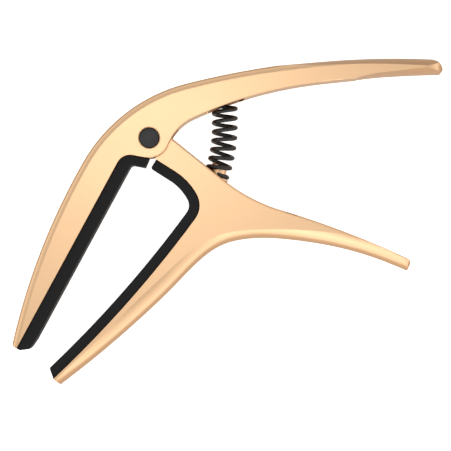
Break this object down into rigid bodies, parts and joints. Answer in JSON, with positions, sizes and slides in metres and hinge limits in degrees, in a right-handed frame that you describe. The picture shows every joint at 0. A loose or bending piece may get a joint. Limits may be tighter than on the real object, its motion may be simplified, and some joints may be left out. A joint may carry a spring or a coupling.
{
  "type": "guitar capo",
  "caption": "Trigger-style guitar capo: two curved metal arms on a pivot pin, pushed shut by a coil spring, with rubber pads for the strings and the back of the neck.",
  "frame": {"origin": "on the pivot axis, in the plane of the upper arm's side face that the capo lies on", "axes": "+Z along the pivot axis, away from the surface that the capo lies on; +X towards the handles; +Y from the lower arm's side to the upper arm's side"},
  "size_m": [0.1211, 0.0921, 0.015],
  "materials": {
    "casting": "satin champagne gold",
    "pad_rubber": "matte black",
    "pin_black": "satin black",
    "spring_black": "satin black",
    "washer_plastic": "natural"
  },
  "bodies": {
    "upper_lever": {"upper_arm": "casting", "string_pad": "pad_rubber", "pivot_barrel": "pin_black", "pivot_screw": "pin_black", "front_washer": "washer_plastic", "rear_washer": "washer_plastic", "spring": "spring_black"},
    "lower_lever": {"lower_arm": "casting", "neck_pad": "pad_rubber"}
  },
  "joints": [
    {"name": "jaw_pivot", "type": "hinge", "parent": "upper_lever", "child": "lower_lever", "pos_m": [0, 0, 0.0075], "axis": [0, 0, 1], "range_deg": [0, 26], "stiffness_Nm_per_rad": 3, "springref_deg": -5.73, "deforming": ["spring"]}
  ]
}
